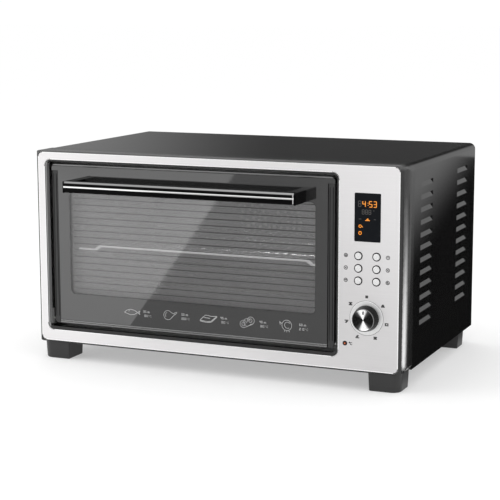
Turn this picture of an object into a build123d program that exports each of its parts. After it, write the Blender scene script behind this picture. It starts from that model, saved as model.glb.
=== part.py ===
from build123d import *
import math
import os

# Counter-top toaster oven, millimetres. X runs to the right of someone facing the door, the door
# is at -Y and Z is up. The origin is on the surface it stands on, under the middle of its box.

# ---- driving dimensions -------------------------------------------------------------------

case_w = 560.0            # front frame, side to side
case_top = 306.0
foot_h = 25.5             # floor to the underside of the front frame
plate_y = -157.5          # front face of the steel plate
rear_y = 188.5            # outer face of the rear panel
frame_back_y = -119.0     # seam between the front frame and the cover
sheet = 0.8

plate_w = 545.0
plate_z0, plate_z1 = 28.0, 303.6
plate_r = 6.0
plate_back = plate_y + sheet
wall_y0, wall_y1 = -156.6, -154.6      # front wall of the frame, behind the plate

# opening in the plate for the door, and the door leaf itself
open_x0, open_x1, open_z0, open_z1, open_r = -261.5, 187.8, 44.3, 293.0, 9.0
door_x0, door_x1, door_z0, door_z1, door_r = -253.9, 180.3, 53.5, 286.7, 7.0
door_y = -151.5
door_back_y = -131.5
door_cx = (door_x0 + door_x1) / 2
rail_w = 10.0
rail_top_z = 276.7
rail_in_x0 = door_x0 + rail_w + 0.2        # between the two side rails
rail_in_x1 = door_x1 - rail_w - 0.2
top_rail_z = door_z1 - 3.0
low_rail_z = door_z0 + 5.2
glass_t = 4.0
glass_back = door_y + glass_t
window = (-235.5, 162.0, 89.0, 258.5)    # hole in the inner pan, a little larger than the clear glass
hinge_y, hinge_z, hinge_pin_r = -146.0, 59.0, 2.0

handle_x0, handle_x1 = -213.8, 139.0
handle_z0, handle_z1 = 250.6, 266.4
handle_front, handle_back = -190.5, -178.5
arm_w = 15.0
arm_centres = (handle_x0 + arm_w / 2, handle_x1 - arm_w / 2)
screw_z = (handle_z0 + handle_z1) / 2

# oven cavity, inside faces
cav_x0, cav_x1, cav_z0, cav_z1 = -242.35, 168.65, 80.0, 268.0
cav_y0, cav_y1 = -128.9, 147.4
cav_cx = (cav_x0 + cav_x1) / 2
collar_y0, collar_y1 = -130.0, -129.0

rack_wire_r = 2.2
rack_z = 157.0
rack_lip_z = 164.0
rack_y0, rack_y1 = -110.5, 140.0
rail_levels = (119.5, 154.5, 189.5)

rod_r = 3.5
lower_rods = ((-99.5, 112.9), (60.0, 112.9))       # (y, z)
upper_rods = ((-50.0, 250.0), (60.0, 250.0))
rod_x0, rod_x1 = -252.0, 182.0

fan_x, fan_z, fan_r = cav_cx, 174.0, 58.0
shaft_r = 3.0                              # fan shaft and selector shaft
lamp_y, lamp_z, lamp_hole_r = 5.0, 225.0, 16.0

# control column
display = (210.0, 246.2, 203.0, 267.5)
button_xs = (215.9, 241.2)
button_zs = (183.6, 166.8, 150.1)
button_r, button_hole_r = 4.6, 5.25
knob_x, knob_z = 228.1, 100.3
knob_base_r, knob_face_r, knob_front_y = 17.5, 15.2, -172.5
pilot_x, pilot_z, pilot_r = 198.0, 63.8, 1.9
board_y0, board_y1 = -146.0, -144.4
selector_back = -138.0
baffle_x = 174.0

# cover
cover_x = 279.2
cover_z0, cover_top, cover_r = 26.0, 305.4, 9.0
cover_y0, cover_y1 = frame_back_y + 0.2, rear_y - sheet - 0.1
louver_top, louver_pitch, louver_count = 276.7, 17.2, 12
louver_h, louver_dip = 6.8, 2.4
louver_columns = ((-86.0, -31.0), (92.0, 146.0))
gland_x, gland_z = 232.0, 62.0

# feet
foot_w, foot_d = 45.0, 42.0
foot_outer_x = 274.5
foot_front_y, foot_rear_y = plate_y + 3.5, 173.0

os.makedirs("parts", exist_ok=True)


# ---- helpers ------------------------------------------------------------------------------

def block(x0, x1, y0, y1, z0, z1):
    """A plain box between two corners."""
    centre = Pos((x0 + x1) / 2, (y0 + y1) / 2, (z0 + z1) / 2)
    return centre * Box(x1 - x0, y1 - y0, z1 - z0)


def slab_y(x0, x1, z0, z1, r, y0, y1):
    """A rounded rectangle seen from the front, as thick as y0 to y1."""
    face = Plane(origin=((x0 + x1) / 2, y1, (z0 + z1) / 2), x_dir=(1, 0, 0), z_dir=(0, -1, 0))
    return extrude(face * RectangleRounded(x1 - x0, z1 - z0, r), amount=y1 - y0)


def prism_x(points, x0, x1):
    """An outline of (y, z) points, extruded from x0 to x1."""
    plane = Plane(origin=(x0, 0, 0), x_dir=(0, 1, 0), z_dir=(1, 0, 0))
    return extrude(plane * make_face(Polyline(*points, close=True)), amount=x1 - x0)


def prism_y(points, y0, y1):
    """An outline of (x, z) points, extruded from y0 to y1."""
    plane = Plane(origin=(0, y1, 0), x_dir=(1, 0, 0), z_dir=(0, -1, 0))
    return extrude(plane * make_face(Polyline(*points, close=True)), amount=y1 - y0)


def bar_profile_x(y0, y1, z0, z1, r, x0, x1):
    """A bar along X with its long edges rounded."""
    plane = Plane(origin=(x0, (y0 + y1) / 2, (z0 + z1) / 2), x_dir=(0, 1, 0), z_dir=(1, 0, 0))
    return extrude(plane * RectangleRounded(y1 - y0, z1 - z0, r), amount=x1 - x0)


def rod_along_x(y, z, r, x0, x1):
    return Pos((x0 + x1) / 2, y, z) * Rot(0, 90, 0) * Cylinder(r, x1 - x0)


def rod_along_y(x, z, r, y0, y1):
    return Pos(x, (y0 + y1) / 2, z) * Rot(90, 0, 0) * Cylinder(r, y1 - y0)


def rod_along_z(x, y, r, z0, z1):
    return Pos(x, y, (z0 + z1) / 2) * Cylinder(r, z1 - z0)


def save(shape, node):
    export_step(shape, "parts/" + node + ".step")


def save_group(shapes, node):
    """Several separate solids in one node."""
    export_step(Compound(children=list(shapes)), "parts/" + node + ".step")


# ---- front --------------------------------------------------------------------------------

def control_cuts(y0, y1, button_hole):
    """Cutters for the display, the buttons, the knob and the pilot lamp."""
    x0, x1, z0, z1 = display
    gap = 0.2
    cuts = [slab_y(x0 - gap, x1 + gap, z0 - gap, z1 + gap, 1.5, y0, y1)]
    cuts += [rod_along_y(x, z, button_hole, y0, y1) for x in button_xs for z in button_zs]
    cuts.append(rod_along_y(knob_x, knob_z, 5.0, y0, y1))
    cuts.append(rod_along_y(pilot_x, pilot_z, pilot_r + 0.1, y0, y1))
    return cuts


def bowed_block(half, y0, y1):
    """A tall block whose front corners sweep back in a quarter ellipse."""
    reach_x, reach_y = 7.4, 26.0
    swept_y = y0 + reach_y
    plan = Pos(0, (swept_y + y1) / 2) * Rectangle(2 * half, y1 - swept_y)
    plan += Pos(0, (y0 + y1) / 2) * Rectangle(2 * (half - reach_x), y1 - y0)
    for x in (reach_x - half, half - reach_x):
        plan += Pos(x, swept_y) * Ellipse(reach_x, reach_y)
    return extrude(plan, amount=400)


def front_frame():
    """Moulded ring with swept-back sides and a front wall that backs the steel plate."""
    edge_r, corner_r, wall = 1.9, 10.0, 2.6
    half = case_w / 2
    front = slab_y(-half, half, foot_h, case_top, corner_r, plate_y, frame_back_y)
    front = fillet(front.faces().sort_by(Axis.Y)[0].edges(), edge_r)
    ring = front & bowed_block(half, plate_y, frame_back_y)
    pocket = slab_y(-half + wall, half - wall, foot_h + 2.5, case_top - wall, 7.5, wall_y1, frame_back_y + 1)
    ring -= pocket & bowed_block(half - wall, wall_y1, frame_back_y + 2)
    ring -= slab_y(-plate_w / 2 - 0.2, plate_w / 2 + 0.2, plate_z0 - 0.2, plate_z1 + 0.2,
                   plate_r + 0.2, plate_y - 1, wall_y0)
    gap = 0.4
    ring -= slab_y(open_x0 - gap, open_x1 + gap, open_z0 - gap, open_z1 + gap, open_r + gap,
                   plate_y - 1, wall_y1 + 1)
    for cut in control_cuts(wall_y0 - 1, wall_y1 + 1, button_r + 0.35):
        ring -= cut
    return ring


def fascia_plate():
    plate = slab_y(-plate_w / 2, plate_w / 2, plate_z0, plate_z1, plate_r, plate_y, plate_back)
    plate -= slab_y(open_x0, open_x1, open_z0, open_z1, open_r, plate_y - 1, plate_back + 1)
    for cut in control_cuts(plate_y - 1, plate_back + 1, button_hole_r):
        plate -= cut
    return plate


def opening_rim():
    """Glossy rim that lines the opening, with a flange behind the frame's front wall."""
    gap, wall, sill = 0.3, 2.2, 4.4
    x0, x1, z0, z1 = open_x0 + gap, open_x1 - gap, open_z0 + gap, open_z1 - gap
    rim = slab_y(x0, x1, z0, z1, open_r - gap, plate_y + 0.3, door_y + 2.0)
    rim = fillet(rim.faces().sort_by(Axis.Y)[0].edges(), 1.0)
    flange = 4.0
    rim += slab_y(x0 - flange, x1 + flange, z0 - flange, z1 + flange, open_r + flange - 1,
                  wall_y1 + 0.1, wall_y1 + 1.6)
    rim -= slab_y(x0 + wall, x1 - wall, z0 + sill, z1 - wall, open_r - wall,
                  plate_y - 1, door_y + 3)
    return rim


# ---- cover, rear panel, base and feet --------------------------------------------------------

def cover_outline(inset, y0, y1):
    """The cover's section, with its lower end left open below cover_z0."""
    x = cover_x - inset
    radius = max(1.0, cover_r - inset)
    body = slab_y(-x, x, cover_z0 - 60, cover_top - inset, radius, y0, y1)
    return body & block(-400, 400, y0 - 1, y1 + 1, cover_z0, 400)


def louver_parts(side, y0, y1, z_top):
    """The slot in the sheet, and the tongue and cheeks pressed in behind it."""
    z0 = z_top - louver_h
    outer = cover_x
    inner = cover_x - sheet
    slot = block(inner - 1, outer + 1, y0, y1, z0, z_top)
    tongue = prism_y([(outer, z0 - 0.2), (outer, z0), (outer - louver_dip, z_top),
                      (inner - louver_dip, z_top), (inner, z0), (inner, z0 - 0.2)], y0, y1)
    cheek = [(inner, z0), (inner - louver_dip, z_top), (inner, z_top)]
    pressed = [tongue, prism_y(cheek, y0 - 0.6, y0), prism_y(cheek, y1, y1 + 0.6)]
    if side < 0:
        slot = slot.mirror(Plane.YZ)
        pressed = [piece.mirror(Plane.YZ) for piece in pressed]
    return slot, pressed


def outer_cover():
    """Folded sheet: top and both sides, pressed louvers, and a flange at the rear."""
    cover = cover_outline(0, cover_y0, cover_y1) - cover_outline(sheet, cover_y0 - 1, cover_y1 + 1)
    flange = cover_outline(0, cover_y1 - sheet, cover_y1)
    flange -= cover_outline(11.0, cover_y1 - sheet - 1, cover_y1 + 1)
    slots, pressed = [], []
    for side in (-1, 1):
        for y0, y1 in louver_columns:
            for row in range(louver_count):
                slot, pieces = louver_parts(side, y0, y1, louver_top - row * louver_pitch)
                slots.append(slot)
                pressed += pieces
    cover = (cover - slots).fuse(flange, *pressed)
    for x, z in case_screw_places():
        cover -= rod_along_y(x, z, 1.8, cover_y1 - 5, cover_y1 + 5)
    return cover


def case_screw_places():
    """Where the rear panel is screwed to the cover's flange."""
    sides = [(side * (cover_x - 6.5), z) for side in (-1, 1) for z in (60.0, 165.0, 270.0)]
    top = [(x, cover_top - 6.5) for x in (-140.0, 140.0)]
    return sides + top


def rear_panel():
    panel = cover_outline(0, rear_y - sheet, rear_y)
    for x, z in case_screw_places():
        panel -= rod_along_y(x, z, 1.8, rear_y - 2, rear_y + 1)
    panel -= rod_along_y(gland_x, gland_z, 6.5, rear_y - 2, rear_y + 1)
    slots = []
    for row in range(7):
        for column in range(5):
            x = fan_x - 60 + column * 30
            z = fan_z - 42 + row * 14
            slots.append(slab_y(x - 11, x + 11, z - 2, z + 2, 1.9, rear_y - 2, rear_y + 1))
    for row in range(7):
        z = 130 + row * 14
        slots.append(slab_y(gland_x - 18, gland_x + 18, z - 2, z + 2, 1.9, rear_y - 2, rear_y + 1))
    return panel - slots


def base_plate():
    plate = block(-cover_x + 1, cover_x - 1, frame_back_y + 0.3, cover_y1 - 0.9, 26.0, 26.8)
    slots = []
    for x in (-180.0, -36.0, 108.0, 222.0):
        for row in range(6):
            y = -40.0 + row * 16
            slots.append(block(x - 24, x + 24, y - 2, y + 2, 25, 28))
    return plate - slots


def foot(side, end):
    """Moulded foot, its outer corner rounded off and its sides drawn in a little downwards."""
    top = foot_h - 0.1
    with BuildSketch() as plan:
        Rectangle(foot_w, foot_d)
        outer = plan.vertices().group_by(Axis.X)[-1 if side > 0 else 0]
        corner = outer.sort_by(Axis.Y)[0 if end < 0 else -1]
        fillet(corner, 15)
        rest = [v for v in plan.vertices() if abs(abs(v.X) - foot_w / 2) < 0.01
                and abs(abs(v.Y) - foot_d / 2) < 0.01]
        fillet(rest, 2.5)
    x = side * (foot_outer_x - foot_w / 2)
    y = foot_front_y + foot_d / 2 if end < 0 else foot_rear_y - foot_d / 2
    solid = extrude(Pos(x, y, top) * Rot(180, 0, 0) * plan.sketch.mirror(Plane.XZ),
                    amount=top, taper=3)
    return fillet(solid.faces().sort_by(Axis.Z)[0].edges(), 2.0)


def cord_gland():
    ring = rod_along_y(gland_x, gland_z, 9.0, rear_y + 0.05, rear_y + 2.0)
    ring += rod_along_y(gland_x, gland_z, 6.4, rear_y - 8.0, rear_y + 0.1)
    return ring - rod_along_y(gland_x, gland_z, 3.6, rear_y - 9, rear_y + 3)


def case_screws():
    screws = []
    for x, z in case_screw_places():
        head = rod_along_y(x, z, 3.5, rear_y + 0.05, rear_y + 1.9)
        head -= block(x - 2.4, x + 2.4, rear_y + 1.1, rear_y + 3, z - 0.4, z + 0.4)
        head -= block(x - 0.4, x + 0.4, rear_y + 1.1, rear_y + 3, z - 2.4, z + 2.4)
        screws.append(head + rod_along_y(x, z, 1.7, rear_y - 6, rear_y + 0.1))
    return screws


# ---- cavity ---------------------------------------------------------------------------------

def cavity_shell():
    outer = slab_y(cav_x0 - sheet, cav_x1 + sheet, cav_z0 - sheet, cav_z1 + sheet, 8.8, cav_y0, cav_y1)
    shell = outer - slab_y(cav_x0, cav_x1, cav_z0, cav_z1, 8.0, cav_y0 - 1, cav_y1 + 1)
    for y, z in lower_rods + upper_rods:
        shell -= rod_along_x(y, z, 5.2, cav_x0 - 5, cav_x1 + 5)
    return shell - rod_along_x(lamp_y, lamp_z, lamp_hole_r, cav_x0 - 5, cav_x0 + 5)


def cavity_back():
    back = slab_y(cav_x0 - sheet, cav_x1 + sheet, cav_z0 - sheet, cav_z1 + sheet, 8.8,
                  cav_y1 + 0.1, cav_y1 + 1.1)
    holes = []
    for ring in range(1, 6):
        count = ring * 7
        for step in range(count):
            angle = 2 * math.pi * step / count
            x = fan_x + ring * 10 * math.cos(angle)
            z = fan_z + ring * 10 * math.sin(angle)
            holes.append(rod_along_y(x, z, 2.6, cav_y1 - 1, cav_y1 + 3))
    return back - holes


def cavity_collar():
    """Front flange that ties the cavity to the casing, round the mouth of the oven."""
    collar = slab_y(-276.0, 190.0, 31.0, 300.5, 8.0, collar_y0, collar_y1)
    return collar - slab_y(cav_x0, cav_x1, cav_z0, cav_z1, 8.0, collar_y0 - 1, collar_y1 + 1)


def control_baffle():
    baffle = block(baffle_x, baffle_x + sheet, collar_y1 + 0.1, 180.0, 30.0, 300.0)
    for y, z in lower_rods + upper_rods:
        baffle -= rod_along_x(y, z, 8.0, baffle_x - 2, baffle_x + 3)
    return baffle


def rack_rails():
    """One stamped ladder of rails on each side wall."""
    sides = []
    for x_wall, inward in ((cav_x0 + 0.05, 1), (cav_x1 - 0.05, -1)):
        def span(depth):
            return sorted((x_wall, x_wall + inward * depth))
        a, b = span(1.0)
        ladder = block(a, b, -121.0, -113.0, 100.0, 196.0)
        ladder += block(a, b, 126.0, 134.0, 100.0, 196.0)
        c, d = span(9.0)
        for level in rail_levels:
            ladder += block(c, d, -121.0, 134.0, level - 1.2, level)
        sides.append(ladder)
    return sides


def heating_rods(places):
    return [rod_along_x(y, z, rod_r, rod_x0, rod_x1) for y, z in places]


def element_insulators():
    caps = []
    for y, z in lower_rods + upper_rods:
        for x0, x1 in ((rod_x0 + 1.5, cav_x0 - sheet - 0.1), (cav_x1 + sheet + 0.1, rod_x1 - 1.5)):
            caps.append(rod_along_x(y, z, 6.4, x0, x1) - rod_along_x(y, z, rod_r + 0.02, x0 - 1, x1 + 1))
    return caps


def wire(points, r, bend):
    """A round wire along straight runs joined by bends."""
    path = FilletPolyline(*points, radius=bend)
    start = Plane(origin=path @ 0, z_dir=path % 0)
    return sweep(start * Circle(r), path=path)


def wire_rack():
    half = 197.3
    lip = 161.5
    fall = 9.0
    back = rack_y1
    halves = []
    for side in (-1, 1):
        points = [(cav_cx, rack_y0, rack_lip_z), (cav_cx + side * lip, rack_y0, rack_lip_z),
                  (cav_cx + side * (lip + fall), rack_y0, rack_z),
                  (cav_cx + side * half, rack_y0, rack_z), (cav_cx + side * half, back, rack_z),
                  (cav_cx, back, rack_z)]
        halves.append(wire(points, rack_wire_r, 4.0))
    cross = []
    count = 23
    for index in range(count):
        x = cav_cx + (index - (count - 1) / 2) * 13.8
        top = rack_z + rack_wire_r
        cross.append(wire([(x, back, top), (x, rack_y0 + 14, top), (x, rack_y0, rack_lip_z + 0.8)],
                          1.2, 5.0))
    for y in (-40.0, 60.0):
        cross.append(rod_along_x(y, rack_z, 1.8, cav_cx - half, cav_cx + half))
    return halves[0].fuse(halves[1], *cross)


def crumb_tray():
    x0, x1, y0, y1, z0, z1 = -234.0, 160.0, -122.0, 138.0, 80.5, 88.0
    tray = block(x0, x1, y0, y1, z0, z1) - block(x0 + 0.8, x1 - 0.8, y0 + 0.8, y1 - 0.8, z0 + 0.8, z1 + 1)
    lip = bar_profile_x(y0 - 2.2, y0 + 0.8, z1 - 2.0, z1 + 1.5, 1.0, x0 + 6, x1 - 6)
    return tray + lip


def fan_blade():
    """Radial impeller on its own shaft."""
    disc = rod_along_y(fan_x, fan_z, fan_r, 160.0, 161.0)
    disc += rod_along_y(fan_x, fan_z, 9.0, 154.0, 164.0)
    disc += rod_along_y(fan_x, fan_z, shaft_r, 151.0, 182.0)
    vane = block(fan_x + 20, fan_x + fan_r, 151.5, 160.5, fan_z - 0.5, fan_z + 0.5)
    axis = Axis((fan_x, 0, fan_z), (0, 1, 0))
    count = 12
    return disc.fuse(*[vane.rotate(axis, 360 * step / count) for step in range(count)])


def fan_housing():
    y0, y1 = cav_y1 + 1.2, 166.8
    pan = rod_along_y(fan_x, fan_z, 66.0, y0, y1)
    pan -= rod_along_y(fan_x, fan_z, 65.2, y0 - 1, y1 - 0.8)
    return pan - rod_along_y(fan_x, fan_z, 8.0, y1 - 2, y1 + 1)


def fan_motor():
    motor = rod_along_y(fan_x, fan_z, 27.0, 166.9, 179.0)
    motor += block(fan_x - 36, fan_x + 36, 166.9, 168.4, fan_z - 9, fan_z + 9)
    motor += rod_along_y(fan_x, fan_z, 8.0, 178.0, 184.5)
    return motor - rod_along_y(fan_x, fan_z, shaft_r + 0.05, 160.0, 183.0)


# ---- controls ---------------------------------------------------------------------------------

def display_window():
    x0, x1, z0, z1 = display
    return slab_y(x0, x1, z0, z1, 1.3, plate_y + 0.2, wall_y1 + 0.2)


def display_module():
    x0, x1, z0, z1 = display
    return slab_y(x0 - 2, x1 + 2, z0 - 2, z1 + 2, 1.0, wall_y1 + 0.3, board_y0 - 0.1)


def button(x, z):
    """Domed cap, a retaining flange behind the frame's wall, and a stem onto its switch."""
    cap = rod_along_y(x, z, button_r, plate_y - 2.0, wall_y1 + 0.4)
    cap = fillet(cap.faces().sort_by(Axis.Y)[0].edges(), 1.4)
    cap += rod_along_y(x, z, 6.2, wall_y1 + 0.2, wall_y1 + 1.2)
    return cap + rod_along_y(x, z, 1.5, wall_y1 + 1.0, -150.7)


def button_switches():
    switches = []
    for x in button_xs:
        for z in button_zs:
            body = block(x - 3, x + 3, -148.2, board_y0 - 0.05, z - 3, z + 3)
            switches.append(body + rod_along_y(x, z, 1.6, -149.5, -148.1))
    return switches


def control_board():
    return block(204.0, 252.0, board_y0, board_y1, 140.0, 275.0)


def rotary_switch():
    body = block(knob_x - 13, knob_x + 13, wall_y1 + 0.3, selector_back, knob_z - 13, knob_z + 13)
    body += rod_along_y(knob_x, knob_z, 4.6, plate_y - 0.5, wall_y1 + 0.4)
    return body - rod_along_y(knob_x, knob_z, shaft_r + 0.05, plate_y - 2, selector_back - 3)


def knob_shaft():
    shaft = rod_along_y(knob_x, knob_z, shaft_r, -167.0, selector_back - 3.5)
    return shaft - block(knob_x - 4, knob_x + 4, -168, -159.5, knob_z + 1.8, knob_z + 4)


def knob():
    """Spun metal cap: slightly conical side, a rolled face edge and a pointer recess."""
    base_y = plate_y - 1.3
    with BuildSketch(Plane.XY) as half:
        with BuildLine():
            a = (0, base_y)
            b = (knob_base_r, base_y)
            c = (knob_base_r, base_y - 1.5)
            d = (knob_face_r + 0.4, knob_front_y + 1.2)
            e = (knob_face_r - 0.8, knob_front_y)
            f = (knob_face_r - 2.0, knob_front_y + 0.5)
            g = (0, knob_front_y + 0.9)
            Polyline(a, b, c, d, e, f, g, a)
        make_face()
    cap = Pos(knob_x, 0, knob_z) * revolve(half.sketch, axis=Axis.Y)
    cap -= rod_along_y(knob_x, knob_z, shaft_r + 0.02, -167.0, base_y + 1) - block(
        knob_x - 4, knob_x + 4, -168, -159.5, knob_z + 1.8, knob_z + 4)
    pointer = block(knob_x - 0.8, knob_x + 0.8, knob_front_y - 1, knob_front_y + 1.6,
                    knob_z + 8.0, knob_z + 12.5)
    return cap - pointer


def knob_bezel():
    ring = rod_along_y(knob_x, knob_z, 23.2, plate_y - 0.9, plate_y - 0.02)
    ring = chamfer(ring.faces().sort_by(Axis.Y)[0].edges(), 0.6)
    return ring - rod_along_y(knob_x, knob_z, 5.1, plate_y - 3, plate_y + 1)


def pilot_lamp():
    lens = rod_along_y(pilot_x, pilot_z, pilot_r, plate_y - 1.0, wall_y1 + 0.1)
    lens = fillet(lens.faces().sort_by(Axis.Y)[0].edges(), 0.8)
    return lens + rod_along_y(pilot_x, pilot_z, 3.2, wall_y1 + 0.05, -149.0)


def power_board():
    board = block(184.0, 272.0, -70.0, 60.0, 40.0, 41.6)
    for x, y, w, d, h in ((200, -50, 18, 14, 15), (226, -50, 18, 14, 15), (252, -48, 14, 24, 12),
                          (205, 10, 20, 20, 9), (245, 20, 12, 12, 16)):
        board += block(x - w / 2, x + w / 2, y - d / 2, y + d / 2, 41.5, 41.6 + h)
    for x in (190.0, 266.0):
        for y in (-64.0, 54.0):
            board += rod_along_z(x, y, 3.0, 26.9, 40.1)
    return board


def transformer():
    core = block(204.0, 252.0, 82.0, 122.0, 26.9, 58.0)
    return core + bar_profile_x(86.0, 118.0, 29.0, 66.0, 3.0, 212.0, 244.0)


def terminal_block():
    block_body = block(210.0, 256.0, 150.0, 168.0, 26.9, 46.0)
    for step in range(3):
        block_body -= rod_along_z(219.0 + step * 14, 159.0, 2.6, 40.0, 50.0)
    return block_body


def thermal_cutout():
    body = rod_along_z(cav_cx, 20.0, 8.0, cav_z1 + sheet + 0.1, cav_z1 + 9.0)
    return body + block(cav_cx - 15, cav_cx + 15, 14.0, 26.0, cav_z1 + sheet + 0.1, cav_z1 + sheet + 1.3)


def lamp_socket():
    return rod_along_x(lamp_y, lamp_z, 11.0, -277.0, -264.0)


def lamp_bulb():
    bulb = rod_along_x(lamp_y, lamp_z, 7.0, -263.9, -250.0)
    return fillet(bulb.faces().sort_by(Axis.X)[-1].edges(), 6.0)


def lamp_lens():
    lens = rod_along_x(lamp_y, lamp_z, 20.0, cav_x0 - 3.6, cav_x0 - sheet - 0.1)
    lens += rod_along_x(lamp_y, lamp_z, lamp_hole_r - 0.3, cav_x0 - sheet - 0.2, cav_x0 + 1.5)
    return lens


# ---- door -------------------------------------------------------------------------------------

def door_outline(y0, y1):
    return slab_y(door_x0, door_x1, door_z0, door_z1, door_r, y0, y1)


def door_glass():
    """Outer pane: full width across the top, notched beside the two side rails."""
    pane = door_outline(door_y, glass_back)
    keep = block(-400, 400, -200, 0, rail_top_z + 0.3, top_rail_z - 0.2)
    keep += block(rail_in_x0, rail_in_x1, -200, 0, low_rail_z + 0.2, rail_top_z + 1)
    pane &= keep
    for x in arm_centres:
        pane -= rod_along_y(x, screw_z, 2.8, door_y - 1, glass_back + 1)
    return pane


def door_rail_side(x0, x1):
    plan = Plane(origin=((x0 + x1) / 2, (door_y + 0.4 + door_back_y) / 2, door_z0))
    rail = extrude(plan * RectangleRounded(x1 - x0, door_back_y - door_y - 0.4, 1.6),
                   amount=rail_top_z - door_z0)
    rail &= door_outline(door_y - 1, door_back_y + 1)
    end = x0 if x0 < 0 else x1
    return rail - rod_along_x(hinge_y, hinge_z, hinge_pin_r + 0.02, end - 9.4, end + 9.4)


def door_rail_top():
    rail = bar_profile_x(door_y - 0.4, door_back_y, top_rail_z, door_z1, 1.1, door_x0, door_x1)
    return rail & door_outline(door_y - 2, door_back_y + 1)


def door_rail_bottom():
    """Sill of the door, with two rounded beads along its face."""
    rail = bar_profile_x(door_y - 0.4, glass_back, door_z0, door_z0 + 2.7, 1.1, rail_in_x0, rail_in_x1)
    rail += bar_profile_x(door_y - 0.4, glass_back, door_z0 + 2.5, low_rail_z, 1.1, rail_in_x0, rail_in_x1)
    return rail + block(rail_in_x0, rail_in_x1, door_y + 2, door_back_y - 4, door_z0, low_rail_z - 0.6)


def door_frame():
    """Pressed inner pan behind the glass, with the window cut out of its floor."""
    x0, x1, z0, z1 = rail_in_x0, rail_in_x1, low_rail_z + 4.0, top_rail_z - 0.3
    pan = slab_y(x0, x1, z0, z1, 3.0, glass_back + 0.2, door_back_y)
    pan -= slab_y(x0 + 1, x1 - 1, z0 + 1, z1 - 1, 2.2, glass_back - 1, door_back_y - 1)
    wx0, wx1, wz0, wz1 = window
    return pan - slab_y(wx0, wx1, wz0, wz1, 8.0, door_back_y - 3, door_back_y + 1)


def window_glass():
    wx0, wx1, wz0, wz1 = window
    return slab_y(wx0 - 5, wx1 + 5, wz0 - 7, wz1 + 7, 8.0, door_back_y - 4.1, door_back_y - 1.1)


def handle_bar():
    """Bright bar with a soft ridge along its front."""
    y0, y1, z0, z1 = handle_front, handle_back, handle_z0, handle_z1
    ridge = z0 + 8.6
    bar = prism_x([(y1, z0), (y1, z1), (y0 + 3.2, z1), (y0 + 1.1, z1 - 2.4), (y0, ridge),
                   (y0 + 1.5, z0 + 2.0), (y0 + 3.2, z0)], handle_x0 + 1.5, handle_x1 - 2.6)
    return fillet(bar.edges().filter_by(Axis.X), 0.9)


def handle_arms():
    """Black end pieces: a cap over each end of the bar and a leg back to the glass."""
    arms = []
    for centre, side in zip(arm_centres, (-1, 1)):
        x0, x1 = centre - arm_w / 2, centre + arm_w / 2
        z0, z1 = handle_z0 - 0.3, handle_z1 + 0.3
        arm = block(x0, x1, handle_back + 0.05, door_y - 0.05, z0, z1)
        if side > 0:
            arm += block(handle_x1 - 2.5, x1, handle_front + 0.8, handle_back + 1, z0, z1)
        else:
            arm += block(x0, handle_x0 + 1.4, handle_front + 0.8, handle_back + 1, z0, z1)
        outer = arm.edges().filter_by(Axis.Y).group_by(Axis.X)[-1 if side > 0 else 0]
        arm = fillet(outer, 1.2)
        arms.append(arm - rod_along_y(centre, screw_z, 2.52, -168.0, door_y + 1))
    return arms


def handle_screws():
    screws = []
    for centre in arm_centres:
        shank = rod_along_y(centre, screw_z, 2.5, -167.0, glass_back + 0.2)
        screws.append(shank + rod_along_y(centre, screw_z, 4.5, glass_back + 0.1, glass_back + 2.8))
    return screws


def mirrored_pair(piece):
    """A piece at the door's left end, and its twin at the right end."""
    return [piece, piece.mirror(Plane(origin=(door_cx, 0, 0), z_dir=(1, 0, 0)))]


def hinge_pins():
    return mirrored_pair(rod_along_x(hinge_y, hinge_z, hinge_pin_r, -268.0, door_x0 + 9.2))


def hinge_brackets():
    plate = block(-258.6, -256.6, -148.9, collar_y0 - 0.05, 50.5, 74.0)
    plate += block(-268.0, -256.6, collar_y0 - 1.6, collar_y0 - 0.05, 50.5, 74.0)
    return mirrored_pair(plate - rod_along_x(hinge_y, hinge_z, hinge_pin_r + 0.06, -270, -250))


def hinge_springs():
    """The closed coils of each torsion spring, as a sleeve round the pin."""
    sleeve = rod_along_x(hinge_y, hinge_z, 3.2, -266.5, -258.8)
    return mirrored_pair(sleeve - rod_along_x(hinge_y, hinge_z, hinge_pin_r + 0.2, -270, -250))


# ---- write every node ---------------------------------------------------------------------------

save(front_frame(), "front_frame")
save(fascia_plate(), "fascia_plate")
save(opening_rim(), "opening_rim")
save(outer_cover(), "outer_cover")
save(rear_panel(), "rear_panel")
save(base_plate(), "base_plate")
for end, end_name in ((-1, "front"), (1, "rear")):
    for side, side_name in ((-1, "left"), (1, "right")):
        save(foot(side, end), "foot_" + end_name + "_" + side_name)
save(cord_gland(), "cord_gland")
save_group(case_screws(), "case_screws")

save(cavity_shell(), "cavity_shell")
save(cavity_back(), "cavity_back")
save(cavity_collar(), "cavity_collar")
save(control_baffle(), "control_baffle")
save_group(rack_rails(), "rack_rails")
save_group(heating_rods(upper_rods), "upper_elements")
save_group(heating_rods(lower_rods), "lower_elements")
save_group(element_insulators(), "element_insulators")
save(wire_rack(), "wire_rack")
save(crumb_tray(), "crumb_tray")
save(fan_blade(), "fan_blade")
save(fan_housing(), "fan_housing")
save(fan_motor(), "fan_motor")
save(lamp_socket(), "lamp_socket")
save(lamp_bulb(), "lamp_bulb")
save(lamp_lens(), "lamp_lens")

save(display_window(), "display_window")
save(display_module(), "display_module")
save(control_board(), "control_board")
number = 0
for z in button_zs:
    for x in button_xs:
        number += 1
        save(button(x, z), "button_" + str(number))
save_group(button_switches(), "button_switches")
save(rotary_switch(), "rotary_switch")
save(knob(), "knob")
save(knob_shaft(), "knob_shaft")
save(knob_bezel(), "knob_bezel")
save(pilot_lamp(), "pilot_lamp")
save(power_board(), "power_board")
save(transformer(), "transformer")
save(terminal_block(), "terminal_block")
save(thermal_cutout(), "thermal_cutout")

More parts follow.
